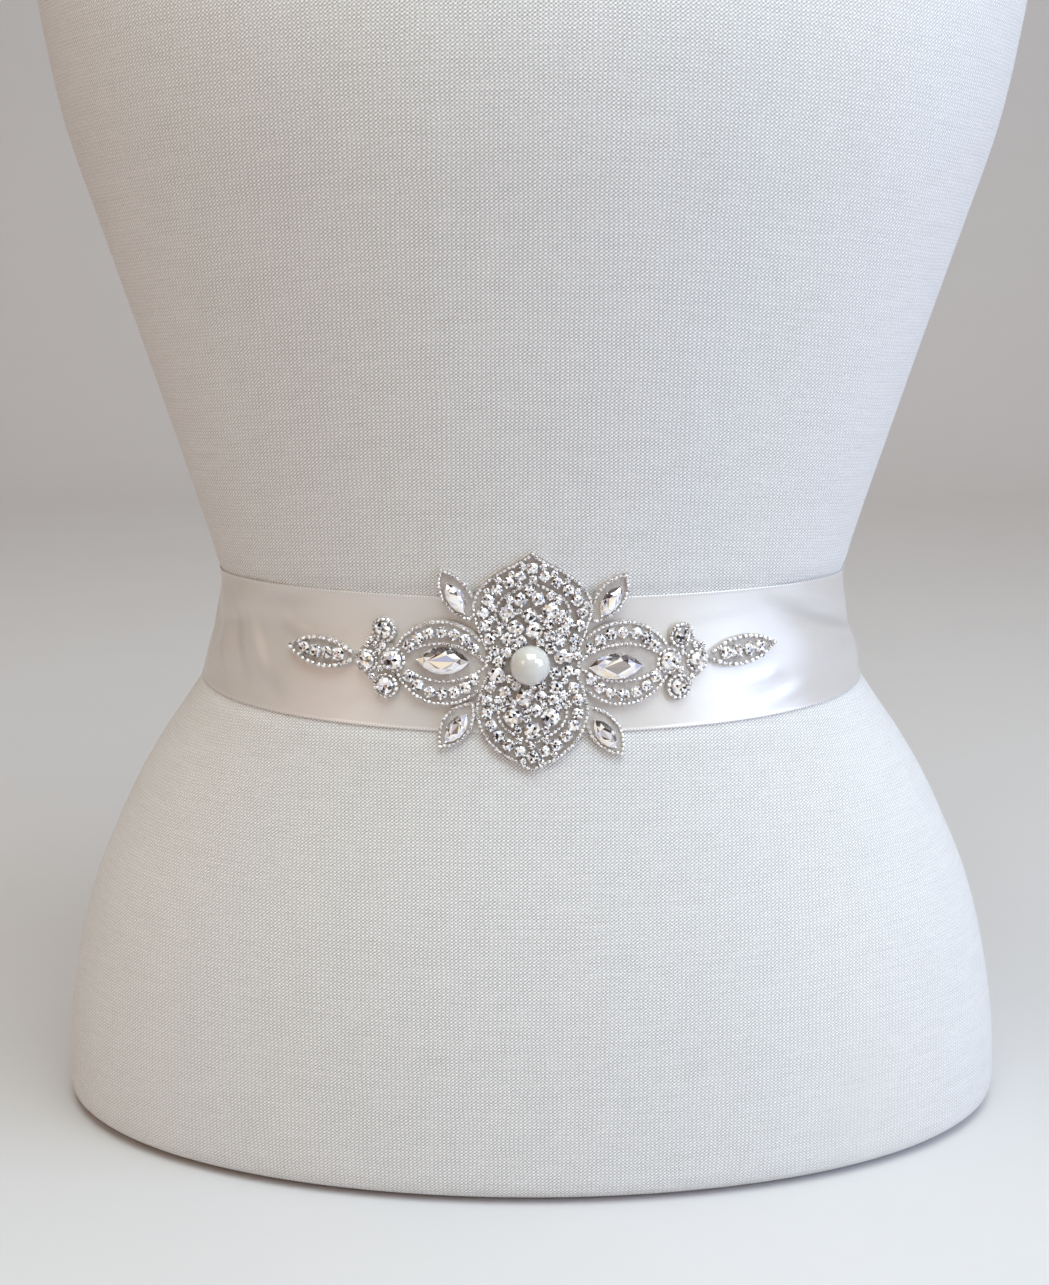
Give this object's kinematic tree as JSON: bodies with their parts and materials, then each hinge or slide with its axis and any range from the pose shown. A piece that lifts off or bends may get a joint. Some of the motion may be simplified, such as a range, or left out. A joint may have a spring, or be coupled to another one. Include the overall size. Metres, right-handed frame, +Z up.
{
  "type": "sash belt on dress form",
  "caption": "Satin ribbon sash belt with a beaded crystal motif and centre pearl, worn round the waist of a limbless countertop dress form.",
  "frame": {"origin": "middle of the dress form's flat base, on the surface that it stands on", "axes": "+Z up, -Y towards the belt's front, +X towards the viewer's right"},
  "size_m": [0.3954, 0.2387, 0.664],
  "materials": {
    "jersey": "fine white knitted jersey over padding",
    "satin": "ivory-white double-face satin ribbon with woven edges",
    "beadwork": "silver-lined glass beads and silver claw settings on a grey backing",
    "crystal": "clear foiled cut crystal",
    "pearl": "ivory pearl lustre"
  },
  "bodies": {
    "root": {"dress_form": "jersey", "sash_band": "satin", "applique": "beadwork", "centre_pearl": "pearl", "petal_stone_left": "crystal", "petal_stone_right": "crystal", "leaf_stone_upper_left": "crystal", "leaf_stone_upper_right": "crystal", "leaf_stone_lower_left": "crystal", "leaf_stone_lower_right": "crystal", "cluster_stone_top_left": "crystal", "cluster_stone_top_right": "crystal", "cluster_stone_bottom_left": "crystal", "cluster_stone_bottom_right": "crystal", "cluster_stone_inner_left": "crystal", "cluster_stone_inner_right": "crystal", "cluster_stone_outer_left": "crystal", "cluster_stone_outer_right": "crystal"}
  },
  "joints": []
}
